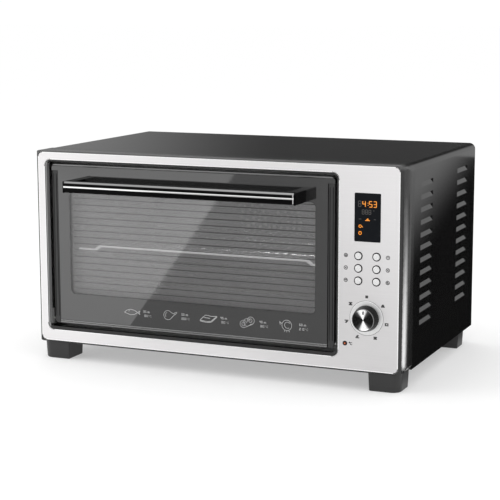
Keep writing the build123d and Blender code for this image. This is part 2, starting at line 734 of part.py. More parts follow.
save(door_glass(), "door_glass")
save(window_glass(), "window_glass")
save(door_frame(), "door_frame")
save(door_rail_side(door_x0, door_x0 + rail_w), "door_rail_left")
save(door_rail_side(door_x1 - rail_w, door_x1), "door_rail_right")
save(door_rail_top(), "door_rail_top")
save(door_rail_bottom(), "door_rail_bottom")
save(handle_bar(), "handle_bar")
save_group(handle_arms(), "handle_arms")
save_group(handle_screws(), "handle_screws")
save_group(hinge_pins(), "hinge_pins")
save_group(hinge_brackets(), "hinge_brackets")
save_group(hinge_springs(), "hinge_springs")
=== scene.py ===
import math

import bmesh
import bpy
from mathutils import Euler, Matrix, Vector


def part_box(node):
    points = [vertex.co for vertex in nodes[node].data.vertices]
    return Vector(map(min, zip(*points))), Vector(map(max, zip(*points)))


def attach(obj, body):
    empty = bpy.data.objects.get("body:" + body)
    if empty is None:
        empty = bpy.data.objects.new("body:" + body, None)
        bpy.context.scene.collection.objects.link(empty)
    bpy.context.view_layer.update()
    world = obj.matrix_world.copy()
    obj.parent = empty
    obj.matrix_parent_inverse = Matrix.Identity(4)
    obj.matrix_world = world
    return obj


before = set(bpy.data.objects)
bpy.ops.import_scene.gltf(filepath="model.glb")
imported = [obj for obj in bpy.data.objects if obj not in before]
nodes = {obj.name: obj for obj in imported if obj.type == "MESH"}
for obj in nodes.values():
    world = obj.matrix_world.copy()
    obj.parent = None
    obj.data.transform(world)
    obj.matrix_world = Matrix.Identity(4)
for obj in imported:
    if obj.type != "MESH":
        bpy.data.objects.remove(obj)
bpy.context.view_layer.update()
mm = 0.001
print("frame loaded,", len(nodes), "nodes")


# one socket, with its maths written as ordinary expressions
class Tap:
    def __init__(self, tree, out=None):
        self.tree = tree
        self.out = out

    def node(self, kind, settings=None, sockets=None, out=0):
        made = self.tree.nodes.new(kind)
        for key, value in (settings or {}).items():
            setattr(made, key, value)
        for key, value in (sockets or {}).items():
            if isinstance(value, Tap):
                self.tree.links.new(value.out, made.inputs[key])
            else:
                made.inputs[key].default_value = value
        return Tap(self.tree, made.outputs[out] if len(made.outputs) else None)

    def calc(self, operation, *values):
        return self.node("ShaderNodeMath", {"operation": operation}, dict(enumerate(values)))

    def __add__(self, other):
        return self.calc("ADD", self, other)

    def __radd__(self, other):
        return self.calc("ADD", other, self)

    def __sub__(self, other):
        return self.calc("SUBTRACT", self, other)

    def __rsub__(self, other):
        return self.calc("SUBTRACT", other, self)

    def __mul__(self, other):
        return self.calc("MULTIPLY", self, other)

    def __rmul__(self, other):
        return self.calc("MULTIPLY", other, self)

    def __gt__(self, other):
        return self.calc("GREATER_THAN", self, other)

    def ease(self, low, high, start=0.0, end=1.0):       # smooth step from start to end
        return self.node("ShaderNodeMapRange", {"interpolation_type": "SMOOTHSTEP"},
                         {"Value": self, "From Min": low, "From Max": high, "To Min": start, "To Max": end})


def place(tap):
    return tap.node("ShaderNodeTexCoord", out="Object")


def along(tap, axis):
    return tap.node("ShaderNodeSeparateXYZ", {}, {"Vector": place(tap)}, out=axis)


def cloud(tap, scale, stretch=(1, 1, 1), detail=3.0):
    moved = tap.node("ShaderNodeMapping", {}, {"Vector": place(tap), "Scale": stretch})
    return tap.node("ShaderNodeTexNoise", {}, {"Vector": moved, "Scale": scale, "Detail": detail})


def blendShade(tap, mask, low, high):
    return tap.node("ShaderNodeMix", {"data_type": "RGBA"}, {0: mask, 6: low, 7: high}, out=2)


def relief(tap, height, depth, strength=0.5):
    return tap.node("ShaderNodeBump", {}, {"Height": height, "Distance": depth, "Strength": strength})


def grey(level, tint=(1, 1, 1)):
    return (level * tint[0], level * tint[1], level * tint[2], 1)


def finish(name, build):
    made = bpy.data.materials.new(name)
    made.use_nodes = True
    made.node_tree.nodes.clear()
    tap = Tap(made.node_tree)
    surface = build(tap)
    if isinstance(surface, dict):
        surface = tap.node("ShaderNodeBsdfPrincipled", {}, surface)
    tap.node("ShaderNodeOutputMaterial", {}, {"Surface": surface})
    return made


camera = {"at": (0.8556, -1.9953, 0.5147), "turn": (80.552, 0.113, 23.398), "lens": 107.19}
cameraData = bpy.data.cameras.new("camera")
cameraData.lens = camera["lens"]
cameraData.sensor_width = 36
cameraData.clip_end = 100
cameraObject = bpy.data.objects.new("camera", cameraData)
cameraObject.location = camera["at"]
cameraObject.rotation_euler = Euler([math.radians(angle) for angle in camera["turn"]])
bpy.context.collection.objects.link(cameraObject)
bpy.context.scene.camera = cameraObject
bpy.context.scene.view_settings.view_transform = "Standard"

studio = {"floorShade": 0.98, "floorLift": 0.36, "surround": 1.02, "floorSize": 30.0}


def meshPiece(name, vertices, faces, finishOf):
    data = bpy.data.meshes.new(name)
    data.from_pydata(vertices, [], faces)
    data.validate()
    data.materials.append(finishOf)
    made = bpy.data.objects.new(name, data)
    bpy.context.collection.objects.link(made)
    return made


def floorShade(tap):
    lift = studio["floorLift"]
    return {"Base Color": grey(studio["floorShade"] * (1 - lift)), "Roughness": 0.8, "Specular IOR Level": 0.0,
            "Emission Color": (1, 1, 1, 1), "Emission Strength": lift}


half = studio["floorSize"]
floor = meshPiece("floor", [(-half, -half, 0), (half, -half, 0), (half, half, 0), (-half, half, 0)],
                  [(0, 1, 2, 3)], finish("floor", floorShade))


def surroundings():
    world = bpy.data.worlds.new("studio")
    bpy.context.scene.world = world
    world.use_nodes = True
    world.node_tree.nodes.clear()
    tap = Tap(world.node_tree)
    light = tap.node("ShaderNodeBackground", {}, {"Color": (1, 1, 1, 1), "Strength": studio["surround"]})
    tap.node("ShaderNodeOutputWorld", {}, {"Surface": light})


surroundings()


# soft panels: where each one is, where it points, its size and its power
softPanels = {
    "panelTop": {"at": (-0.3, 0.1, 2.2), "to": (0, 0, 0.1), "size": (1.8, 1.4), "power": 10},
    "panelLeft": {"at": (-2.0, -1.5, 1.3), "to": (0, 0, 0.15), "size": (1.0, 1.6), "power": 12},
}


def areaLamp(name, setting):
    lamp = bpy.data.lights.new(name, "AREA")
    lamp.shape = "RECTANGLE"
    lamp.size, lamp.size_y = setting["size"]
    lamp.energy = setting["power"]
    lampObject = bpy.data.objects.new(name, lamp)
    lampObject.location = setting["at"]
    bpy.context.collection.objects.link(lampObject)
    return lampObject


for name, panel in softPanels.items():
    aim = Vector(panel["to"]) - Vector(panel["at"])
    areaLamp(name, panel).rotation_euler = aim.to_track_quat("-Z", "Y").to_euler()


# studio cards that only polished surfaces see
def card(name, corners, build):
    made = meshPiece(name, corners, [tuple(range(len(corners)))], finish(name, build))
    made.visible_camera = False
    made.visible_diffuse = False
    made.visible_shadow = False
    made.visible_transmission = False
    made.visible_volume_scatter = False
    return made


def glow(tap, level, strength):           # level varies over the card, strength doesn't
    white = blendShade(tap, level, (0, 0, 0, 1), (1, 1, 1, 1)) if isinstance(level, Tap) else grey(level)
    return {"Base Color": (0, 0, 0, 1), "Roughness": 1.0, "Specular IOR Level": 0.0, "Emission Color": white,
            "Emission Strength": strength}


cardHeight = 0.004


def seenFrom(spot):                       # where the floor shows a point of the door's glass
    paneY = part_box("door_glass")[0].y
    eye = Vector(camera["at"])
    mirrored = Vector((eye.x, 2 * paneY - eye.y, eye.z))
    point = Vector((spot[0], paneY, spot[1]))
    reach = (mirrored.z - cardHeight) / (mirrored.z - point.z)
    return mirrored + (point - mirrored) * reach


doorCard = {"edgeTop": (0.0365, 0.287), "edgeLow": (-0.1340, 0.0535), "right": 0.186, "glow": 0.45}
spots = [doorCard["edgeTop"], doorCard["edgeLow"], (doorCard["right"], 0.0535), (doorCard["right"], 0.287)]
card("cardDoor", [seenFrom(spot) for spot in spots], lambda tap: glow(tap, 1.0, doorCard["glow"]))

sideCard = {"x": (0.285, 2.4), "y": (-0.12, 4.5), "from": (0.618, 0.983), "lean": 0.197, "soft": 0.04,
            "dim": 0.012, "bright": 0.55}


def sideCardShade(tap):
    startX, startY = sideCard["from"]
    past = along(tap, "X") - (along(tap, "Y") - startY) * sideCard["lean"] - startX
    bright = sideCard["bright"]
    return glow(tap, past.ease(-sideCard["soft"], sideCard["soft"] * 3, sideCard["dim"] / bright, 1.0), bright)


(x0, x1), (y0, y1) = sideCard["x"], sideCard["y"]
card("cardSide", [(x, y, cardHeight) for x, y in ((x0, y0), (x1, y0), (x1, y1), (x0, y1))], sideCardShade)

backCard = {"y": 2.6, "x": (-3.2, 3.4), "z": (0.03, 2.4)}


def backCardShade(tap):
    left = along(tap, "X").ease(-1.0, -1.9)
    right = along(tap, "X").ease(0.3, 0.9)
    return glow(tap, 0.07 + left * 0.24 + right * 0.55, 1.0)


(x0, x1), (z0, z1) = backCard["x"], backCard["z"]
backY = backCard["y"]
card("cardBack", [(x0, backY, z0), (x1, backY, z0), (x1, backY, z1), (x0, backY, z1)], backCardShade)

# a bright strip for the rounded front corner, strongest near the object
edgeCard = {"corner": (0.28, -0.157), "near": 0.13, "far": 2.0, "low": 18, "high": 64, "nearGlow": 11,
            "farGlow": 1.8, "softLow": 10, "softHigh": 22}


def edgeCardShade(tap):
    cornerX, cornerY = edgeCard["corner"]
    heading = tap.calc("ARCTAN2", along(tap, "Y") - cornerY, along(tap, "X") - cornerX)
    low, high = math.radians(edgeCard["low"]), math.radians(edgeCard["high"])
    sides = heading.ease(low, low + math.radians(edgeCard["softLow"]))
    sides = sides * heading.ease(high, high - math.radians(edgeCard["softHigh"]))
    fade = along(tap, "X").ease(0.4, 1.3)
    drop = 1 - edgeCard["farGlow"] / edgeCard["nearGlow"]
    return glow(tap, (1 - fade * drop) * sides, edgeCard["nearGlow"])


edgeSpots = []
for reach, angle in (("near", "low"), ("far", "low"), ("far", "high"), ("near", "high")):
    turn, far = math.radians(edgeCard[angle]), edgeCard[reach]
    cornerX, cornerY = edgeCard["corner"]
    edgeSpots.append((cornerX + far * math.cos(turn), cornerY + far * math.sin(turn), cardHeight + 0.002))
card("cardEdge", edgeSpots, edgeCardShade)

# a lamp near the top of the cavity, shining down on the rack
ovenLight = {"at": (0.070, -0.070, 0.262), "size": (0.20, 0.03), "power": 0.24}
areaLamp("ovenLight", ovenLight)
print("camera, floor and lights set")


def brushedSteel(tap):
    streaks = cloud(tap, 60.0, (0.35, 1, 40), 4.0)
    fine = cloud(tap, 700.0, (0.03, 1, 4), 2.0)
    # painted shade: the plate is painted darker toward the lower right, standing in for the shadowed floor it
    # reflects there; the streaks are brushing
    height = along(tap, "Z").ease(0.02, 0.30)
    paintedShadeRightward = along(tap, "X").ease(0.0, 0.27)
    streaksAndPaintedShade = 0.80 - (1 - height) * paintedShadeRightward * 0.18 + (streaks - 0.5) * 0.07
    colour = blendShade(tap, streaksAndPaintedShade, (0, 0, 0, 1), (1.0, 0.985, 0.99, 1))
    return {"Base Color": colour, "Metallic": 1.0, "Roughness": 0.30 + fine * 0.12,
            "Normal": relief(tap, fine, 0.00004, 0.35)}


def glossBlack(tap, level=0.012, rough=0.10):
    dust = cloud(tap, 900.0, detail=2.0)
    return {"Base Color": blendShade(tap, cloud(tap, 18.0), grey(level), grey(level * 1.6)),
            "Roughness": rough + dust * 0.08, "Normal": relief(tap, cloud(tap, 60.0), 0.0002, 0.05)}


def handleBlack(tap):
    made = glossBlack(tap, 0.002, 0.08)
    made["Specular IOR Level"] = 0.02
    return made


def rimGloss(tap):                        # painted highlight: the left wall of the rim is painted paler, standing in for the light it catches from the right
    paintedLitWall = along(tap, "X").ease(-0.2570, -0.2585)
    made = glossBlack(tap, 0.006, 0.12)
    made["Base Color"] = blendShade(tap, paintedLitWall, grey(0.008), grey(0.24))
    return made


def frameGloss(tap):                      # painted highlight: the upper front edge is painted a little paler, standing in for the light on its rounded edge
    low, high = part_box("front_frame")
    paintedUpperHighlight = along(tap, "Z").ease(high.z - 0.008, high.z - 0.003)
    paintedUpperHighlight = paintedUpperHighlight * along(tap, "Y").ease(low.y + 0.020, low.y + 0.008)
    made = glossBlack(tap)
    made["Base Color"] = blendShade(tap, paintedUpperHighlight, grey(0.012), grey(0.075))
    return made


def coverPaint(tap):
    orange = cloud(tap, 300.0, detail=1.0)
    broad = cloud(tap, 9.0)
    return {"Base Color": blendShade(tap, broad, grey(0.003), grey(0.005)), "Specular IOR Level": 0.42,
            "Roughness": 0.035 + orange * 0.03, "Normal": relief(tap, orange, 0.00002, 0.02)}


def sheetZinc(tap):
    crystals = tap.node("ShaderNodeTexVoronoi", {"feature": "F1"}, {"Vector": place(tap), "Scale": 120.0},
                        out="Color")
    level = tap.node("ShaderNodeSeparateColor", {}, {"Color": crystals}, out=0)
    return {"Base Color": blendShade(tap, level, grey(0.20), grey(0.34, (1, 1, 1.03))), "Metallic": 1.0,
            "Roughness": 0.35 + level * 0.2}


def satinPlastic(tap):
    pebble = cloud(tap, 1100.0, detail=3.0)
    return {"Base Color": blendShade(tap, cloud(tap, 30.0), grey(0.012), grey(0.020)),
            "Roughness": 0.34 + pebble * 0.2, "Normal": relief(tap, pebble, 0.0001, 0.3)}


def zincPlate(tap):
    stain = cloud(tap, 250.0)
    return {"Base Color": blendShade(tap, stain, grey(0.42, (1, 1, 0.97)), grey(0.62)), "Metallic": 1.0,
            "Roughness": 0.22 + stain * 0.2}


def linerSteel(tap):
    smear = cloud(tap, 12.0, (1, 1, 4))
    spots = cloud(tap, 260.0)
    return {"Base Color": blendShade(tap, smear, grey(0.30), grey(0.46)), "Metallic": 0.9,
            "Roughness": 0.35 + spots * 0.2, "Normal": relief(tap, spots, 0.0001, 0.1)}


def heaterSheath(tap):
    scale = cloud(tap, 300.0, detail=5.0)
    return {"Base Color": blendShade(tap, scale, (0.05, 0.045, 0.04, 1), (0.16, 0.15, 0.14, 1)),
            "Metallic": 0.5, "Roughness": 0.5 + scale * 0.3, "Normal": relief(tap, scale, 0.0003, 0.4)}


def ceramic(tap):
    speck = cloud(tap, 600.0, detail=5.0)
    return {"Base Color": blendShade(tap, speck, (0.66, 0.63, 0.56, 1), (0.80, 0.78, 0.72, 1)),
            "Roughness": 0.6 + speck * 0.2, "Normal": relief(tap, speck, 0.0002, 0.3)}


def brightWire(tap):                      # painted highlight: the front wire is painted paler and made to glow, standing in for the light it catches
    drawn = cloud(tap, 400.0)
    low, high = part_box("wire_rack")
    front = along(tap, "Y").ease(low.y + 0.0060, low.y + 0.0045)
    return {"Base Color": blendShade(tap, drawn, grey(0.72), grey(0.92)), "Metallic": 1.0 - front * 0.8,
            "Roughness": 0.10 + drawn * 0.12 + front * 0.2,
            "Emission Color": blendShade(tap, front, (0, 0, 0, 1), (1, 1, 1, 1)), "Emission Strength": 0.45}


def stampedAluminium(tap):
    rub = cloud(tap, 150.0, (1, 5, 1))
    return {"Base Color": blendShade(tap, rub, grey(0.5), grey(0.64)), "Metallic": 1.0,
            "Roughness": 0.3 + rub * 0.2}


def laminatedSteel(tap):
    leaves = cloud(tap, 90.0, (1, 1, 30))
    return {"Base Color": blendShade(tap, leaves, grey(0.14), grey(0.26)), "Metallic": 0.8,
            "Roughness": 0.4 + leaves * 0.2, "Normal": relief(tap, leaves, 0.0002, 0.4)}


def clearLampGlass(tap):
    haze = cloud(tap, 200.0)
    return {"Base Color": grey(0.9, (1, 0.99, 0.93)), "Roughness": 0.03 + haze * 0.06,
            "Alpha": 0.35 + haze * 0.1}


def smokedWindow(tap):
    tint = cloud(tap, 120.0)
    return {"Base Color": blendShade(tap, tint, (0.005, 0.006, 0.008, 1), (0.009, 0.010, 0.012, 1)),
            "Roughness": 0.07 + tint * 0.05, "Specular IOR Level": 0.04}


def boardGreen(tap):
    tracks = cloud(tap, 500.0, (1, 0.2, 1))
    return {"Base Color": blendShade(tap, tracks > 0.52, (0.012, 0.08, 0.03, 1), (0.02, 0.16, 0.06, 1)),
            "Roughness": 0.35 + tracks * 0.2}


def silverCap(tap):
    pearl = cloud(tap, 900.0)
    return {"Base Color": blendShade(tap, pearl, grey(0.66), grey(0.78)), "Metallic": 0.35,
            "Roughness": 0.22 + pearl * 0.1, "Coat Weight": 0.5, "Coat Roughness": 0.08}


# the turned face of the knob, with a rolled ring round it, and black plastic outside (radii in metres)
knobLook = {"face": 0.0143, "rolled": 0.0154, "metal": 0.0156, "soft": 0.0003, "grooves": 9000.0,
            "turn": 0.12}


def spunMetal(tap):
    face, rolled, metal, soft = (knobLook[key] for key in ("face", "rolled", "metal", "soft"))
    box0, box1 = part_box("knob")
    across = along(tap, "X") - (box0.x + box1.x) / 2
    upward = along(tap, "Z") - (box0.z + box1.z) / 2
    radius = tap.calc("SQRT", across * across + upward * upward)
    grooves = tap.calc("SINE", radius * knobLook["grooves"])
    uneven = cloud(tap, 500.0)
    angle = tap.calc("ARCTAN2", across, upward)
    # painted highlight: the spun face's bow-tie sheen is painted into the colour by angle, bright wedges up and
    # down and dark to the sides, and the rolled ring is painted a little paler for its rim highlight
    paintedSheen = tap.calc("ABSOLUTE", tap.calc("COSINE", angle + knobLook["turn"]))
    paintedSheen = paintedSheen.ease(0.80, 0.995, 0.0, 0.95) + paintedSheen.ease(0.5, 0.9, 0.0, 0.06) + (uneven - 0.5) * 0.05
    inFace = radius.ease(face, face - soft)
    inRolled = radius.ease(face, face + soft) * radius.ease(rolled, rolled - soft)
    level = inFace * paintedSheen + inRolled * 0.20 + 0.012
    inMetal = radius.ease(metal, metal - soft - 0.0001) * 0.97
    return {"Base Color": blendShade(tap, level, grey(0.0), grey(1.0)), "Metallic": inMetal,
            "Roughness": 0.2 + uneven * 0.1, "Specular IOR Level": 0.05,
            "Normal": relief(tap, grooves, 0.00005, 0.3)}


def brightRing(tap):
    uneven = cloud(tap, 300.0)
    return {"Base Color": blendShade(tap, uneven, grey(0.70), grey(0.80)), "Metallic": 1.0,
            "Roughness": 0.36 + uneven * 0.1}


def amberLens(tap):
    box0, box1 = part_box("pilot_lamp")
    across = along(tap, "X") - (box0.x + box1.x) / 2
    upward = along(tap, "Z") - (box0.z + box1.z) / 2
    middle = tap.calc("SQRT", across * across + upward * upward).ease(0.0014, 0.0)
    return {"Base Color": (0.10, 0.015, 0.008, 1), "Roughness": 0.15 + middle * 0.05,
            "Emission Color": blendShade(tap, middle, (0.02, 0.0, 0.0, 1), (1.0, 0.24, 0.05, 1)),
            "Emission Strength": 0.7}


# door glass: black print all round, and a clear window through which the inner pane shows
doorPane = {"mirror": 0.118, "clearMirror": 0.085, "printShade": 0.016, "corner": 0.007, "soft": 0.0003,
            "window": (-0.2260, 0.1525, 0.0982, 0.2505)}


def windowMask(tap):
    x0, x1, z0, z1 = doorPane["window"]
    corner = doorPane["corner"]
    across = tap.calc("ABSOLUTE", along(tap, "X") - (x0 + x1) / 2) - ((x1 - x0) / 2 - corner)
    upward = tap.calc("ABSOLUTE", along(tap, "Z") - (z0 + z1) / 2) - ((z1 - z0) / 2 - corner)
    across, upward = tap.calc("MAXIMUM", across, 0.0), tap.calc("MAXIMUM", upward, 0.0)
    away = tap.calc("SQRT", across * across + upward * upward)
    return away.ease(corner + doorPane["soft"], corner - doorPane["soft"])


def doorPaneGlass(tap):
    streak = cloud(tap, 25.0)
    printShade = blendShade(tap, streak, grey(doorPane["printShade"]), grey(doorPane["printShade"] * 1.5))
    shine = tap.node("ShaderNodeBsdfGlossy", {}, {"Color": (1, 1, 1, 1), "Roughness": 0.03})
    ink = tap.node("ShaderNodeBsdfPrincipled", {}, {"Base Color": printShade, "Roughness": 0.6,
                                                    "Specular IOR Level": 0.0})
    clear = tap.node("ShaderNodeBsdfTransparent", {}, {"Color": (0.88, 0.878, 0.88, 1)})
    printed = tap.node("ShaderNodeMixShader", {}, {0: doorPane["mirror"], 1: ink, 2: shine})
    window = tap.node("ShaderNodeMixShader", {}, {0: doorPane["clearMirror"], 1: clear, 2: shine})
    return tap.node("ShaderNodeMixShader", {}, {0: windowMask(tap), 1: printed, 2: window})


innerPane = {"veil": 0.22, "veilLow": 0.38, "veilHigh": 0.50}


def innerPaneGlass(tap):
    haze = cloud(tap, 9.0, (1, 1, 2))
    shine = tap.node("ShaderNodeBsdfGlossy", {}, {"Color": (1, 1, 1, 1), "Roughness": 0.06})
    veil = tap.node("ShaderNodeBsdfPrincipled", {}, {
        "Base Color": blendShade(tap, haze, grey(innerPane["veilLow"]), grey(innerPane["veilHigh"])),
        "Roughness": 0.7, "Specular IOR Level": 0.0})
    clear = tap.node("ShaderNodeBsdfTransparent", {}, {"Color": (0.97, 0.97, 0.97, 1)})
    body = tap.node("ShaderNodeMixShader", {}, {0: innerPane["veil"], 1: clear, 2: veil})
    return tap.node("ShaderNodeMixShader", {}, {0: 0.03, 1: body, 2: shine})


def doorEnamel(tap):
    fleck = cloud(tap, 900.0)
    return {"Base Color": blendShade(tap, cloud(tap, 20.0), grey(0.016), grey(0.026)),
            "Roughness": 0.26 + fleck * 0.08, "Normal": relief(tap, fleck, 0.00002, 0.06)}


def darkTrim(tap):
    drawn = cloud(tap, 200.0, (0.05, 1, 1))
    return {"Base Color": blendShade(tap, drawn, grey(0.16), grey(0.26)), "Metallic": 0.9,
            "Roughness": 0.22 + drawn * 0.1}


# painted highlight: two bright lines along the bar, painted as bright metal: the ridge of its face, and its
# upper front edge
handleShine = {"ridge": 8.4, "halfWidth": 1.25, "topLine": 0.0026}


def handleFinish(tap):
    low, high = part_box("handle_bar")
    ridge = low.z + handleShine["ridge"] * mm
    off = tap.calc("ABSOLUTE", along(tap, "Z") - ridge)
    line = off.ease(handleShine["halfWidth"] * mm, handleShine["halfWidth"] * mm * 0.7)
    front = along(tap, "Y").ease(low.y + 0.0040, low.y + 0.0034)
    topLine = high.z - handleShine["topLine"]
    paintedUpperHighlight = along(tap, "Z").ease(topLine, topLine + 0.0008) * front
    drawn = cloud(tap, 180.0, (0.05, 1, 1))
    paintedHighlightBands = tap.calc("MAXIMUM", line, paintedUpperHighlight * 0.3)
    return {"Base Color": blendShade(tap, paintedHighlightBands, grey(0.003), grey(0.97)), "Metallic": paintedHighlightBands,
            "Roughness": 0.10 + drawn * 0.08, "Specular IOR Level": 0.025}


def printBlack(tap):
    wear = cloud(tap, 800.0)
    return {"Base Color": blendShade(tap, wear, grey(0.015), grey(0.05)), "Roughness": 0.5 + wear * 0.1}


def printGrey(tap):
    wear = cloud(tap, 800.0)
    return {"Base Color": blendShade(tap, wear, grey(0.10), grey(0.16)), "Roughness": 0.5 + wear * 0.1}


def printPale(tap):
    wear = cloud(tap, 800.0)
    return {"Base Color": blendShade(tap, wear, grey(0.50), grey(0.62)), "Roughness": 0.5 + wear * 0.1}


def litAmber(tap):
    flicker = cloud(tap, 400.0)
    return {"Base Color": (0.2, 0.05, 0.0, 1), "Roughness": 0.5,
            "Emission Color": blendShade(tap, flicker, (0.85, 0.26, 0.015, 1), (1.0, 0.40, 0.05, 1)),
            "Emission Strength": 0.95}


def unlitSegment(tap):
    flicker = cloud(tap, 400.0)
    return {"Base Color": blendShade(tap, flicker, grey(0.045), grey(0.07, (1.1, 1, 0.95))), "Roughness": 0.5}


finishes = {
    "fascia_plate": brushedSteel, "front_frame": frameGloss, "opening_rim": rimGloss,
    "outer_cover": coverPaint, "rear_panel": coverPaint, "base_plate": sheetZinc,
    "foot_front_left": satinPlastic, "foot_front_right": satinPlastic, "foot_rear_left": satinPlastic,
    "foot_rear_right": satinPlastic, "cord_gland": satinPlastic, "case_screws": zincPlate,
    "cavity_shell": linerSteel, "cavity_back": linerSteel, "cavity_collar": linerSteel,
    "control_baffle": sheetZinc, "rack_rails": linerSteel, "crumb_tray": linerSteel,
    "upper_elements": heaterSheath, "lower_elements": heaterSheath, "element_insulators": ceramic,
    "wire_rack": brightWire, "fan_blade": stampedAluminium, "fan_housing": sheetZinc,
    "fan_motor": laminatedSteel, "transformer": laminatedSteel, "thermal_cutout": laminatedSteel,
    "lamp_socket": ceramic, "terminal_block": ceramic, "lamp_bulb": clearLampGlass, "lamp_lens": clearLampGlass,
    "display_window": smokedWindow, "display_module": smokedWindow, "control_board": boardGreen,
    "power_board": boardGreen, "button_switches": satinPlastic, "rotary_switch": satinPlastic,
    "knob": spunMetal, "knob_shaft": zincPlate, "knob_bezel": brightRing, "pilot_lamp": amberLens,
    "door_glass": doorPaneGlass, "window_glass": innerPaneGlass, "door_frame": doorEnamel,
    "door_rail_left": doorEnamel, "door_rail_right": doorEnamel, "door_rail_top": darkTrim,
    "door_rail_bottom": darkTrim, "handle_bar": handleFinish, "handle_arms": handleBlack,
    "handle_screws": zincPlate, "hinge_pins": zincPlate, "hinge_brackets": zincPlate,
    "hinge_springs": zincPlate,
}
for number in range(1, 7):
    finishes["button_" + str(number)] = silverCap

madeFinishes = {}


def finishNamed(build):
    if build.__name__ not in madeFinishes:
        madeFinishes[build.__name__] = finish(build.__name__, build)
    return madeFinishes[build.__name__]


def wear(thing, build):
    thing.data.materials.clear()
    thing.data.materials.append(finishNamed(build))


for nodeName, thing in nodes.items():
    wear(thing, finishes[nodeName])
print("finishes made:", len(madeFinishes))


# printed marks, lit segments, and painted highlights and shade are fine raised strokes
def strokes(name, lines, frontY, width, build, body, thick=0.05):
    mesh = bmesh.new()
    for line in lines:
        for a, b in zip(line, line[1:]):
            start, end = Vector(a), Vector(b)
            run = end - start
            if run.length < 1e-6:
                continue
            run.normalize()
            side = Vector((-run.y, run.x)) * width / 2
            tip = run * width / 2
            corners = [start - tip - side, end + tip - side, end + tip + side, start - tip + side]
            rear = [mesh.verts.new((c.x * mm, frontY, c.y * mm)) for c in corners]
            fore = [mesh.verts.new((c.x * mm, frontY - thick * mm, c.y * mm)) for c in corners]
            mesh.faces.new(fore)
            mesh.faces.new(rear[::-1])
            for i in range(4):
                j = (i + 1) % 4
                mesh.faces.new((fore[j], fore[i], rear[i], rear[j]))
    bmesh.ops.recalc_face_normals(mesh, faces=mesh.faces)
    data = bpy.data.meshes.new(name)
    mesh.to_mesh(data)
    mesh.free()
    made = bpy.data.objects.new(name, data)
    bpy.context.collection.objects.link(made)
    data.materials.append(finishNamed(build))
    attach(made, body)
    return made


def arc(cx, cz, radius, start, end, steps=12):
    angles = [math.radians(start + (end - start) * i / steps) for i in range(steps + 1)]
    return [(cx + radius * math.cos(a), cz + radius * math.sin(a)) for a in angles]


def moved(lines, dx, dz):
    return [[(x + dx, z + dz) for x, z in line] for line in lines]


# seven segment digits, each in a cell one unit wide and two high
segmentLines = {"a": [(0, 2), (1, 2)], "b": [(1, 2), (1, 1)], "c": [(1, 1), (1, 0)], "d": [(0, 0), (1, 0)],
                "e": [(0, 0), (0, 1)], "f": [(0, 1), (0, 2)], "g": [(0, 1), (1, 1)]}
digitSegments = {"0": "abcdef", "1": "bc", "2": "abged", "3": "abgcd", "4": "fgbc", "5": "afgcd",
                 "6": "afgedc", "7": "abc", "8": "abcdefg", "9": "abcdfg"}


def digitLines(text, x, z, height, step):
    lines = []
    unit = height * 0.5
    for sign in text:
        for segment in digitSegments[sign]:
            lines.append([(x + px * unit, z + pz * unit) for px, pz in segmentLines[segment]])
        x += step
    return lines


def digitEnds(lines, trim):               # opens the gaps between one digit's segments
    opened = []
    for (ax, az), (bx, bz) in lines:
        length = math.hypot(bx - ax, bz - az)
        tx, tz = (bx - ax) / length * trim, (bz - az) / length * trim
        opened.append([(ax + tx, az + tz), (bx - tx, bz - tz)])
    return opened


display = {"digitHeight": 7.4, "digitStep": 6.1, "left": 215.0, "line": 249.4}
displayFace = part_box("display_window")[0].y
step, high, left, base = display["digitStep"], display["digitHeight"], display["left"], display["line"]
timeLines = digitEnds(digitLines("4", left + step, base, high, step), 0.5)
timeLines += digitEnds(digitLines("53", left + step * 2.5, base, high, step), 0.5)
colonX = left + step * 2.22
colon = [[(colonX, base + high * k), (colonX, base + high * k + 0.01)] for k in (0.3, 0.68)]
strokes("display_time", timeLines + colon, displayFace, 1.0, litAmber, "casing")
ghostLines = digitEnds(digitLines("8", left, base, high, step), 0.5)
ghostLines += digitEnds(digitLines("888", 220.4, 239.6, 5.8, 4.6), 0.4)
ghostLines += [[(236, 244.6), (237, 244.6)], [(216, 233), (219, 233)], [(237, 233), (239, 233)]]
strokes("display_unlit", ghostLines, displayFace, 0.7, unlitSegment, "casing")
signs = [[(225.2, 231.4), (230.8, 231.4)], [(226.6, 232.4), (229.4, 232.4)], [(227.6, 233.6), (228.6, 233.6)]]
signs += [arc(217.8, 223.4, 1.7, 30, 330)] + [[(219.2, 224.2), (221.2, 222.4)]]
signs += [arc(217.8, 214.2, 1.9, 0, 360)] + [[(216.6, 216.2), (219.0, 216.2)]]
strokes("display_signs", signs, displayFace, 0.9, litAmber, "casing")

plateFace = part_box("fascia_plate")[0].y
iconRadius = 2.35
buttonRows = (183.6, 166.8, 150.1)
iconLines = []
iconShapes = (
    [[(-1.3, -0.9), (1.3, -0.9)], [(-1.0, 0.2), (0.2, 1.2)], [(0.2, -0.4), (1.2, 0.7)],
     [(-0.6, -0.4), (0.6, -0.4)]],
    [[(-0.6, 0), (0.6, 0)], [(0, -0.6), (0, 0.6)], [(-0.5, -0.5), (0.5, 0.5)]],
    [[(-1.5, 0.7), (1.5, 0.7)], [(-1.1, -0.3), (1.1, -0.3)]],
    [[(0, -0.9), (0, 0.9)], [(-0.5, 0.4), (0.5, 0.4)]],
    [[(-1.0, 0.9), (0.1, -0.9)], [(1.0, 0.9), (-0.3, 0.0)], [(0.1, -0.9), (1.1, -0.9)]],
    [[(-1.4, 0), (1.4, 0)], [(0, -1.4), (0, 1.4)], [(-0.7, 0.8), (0.8, -0.7)]],
)
for index, shape in enumerate(iconShapes):
    column, row = divmod(index, 3)
    centreX = (198.3, 256.9)[column]
    iconLines += moved([arc(0, 0, iconRadius, 0, 360, 20)] + shape, centreX, buttonRows[row])
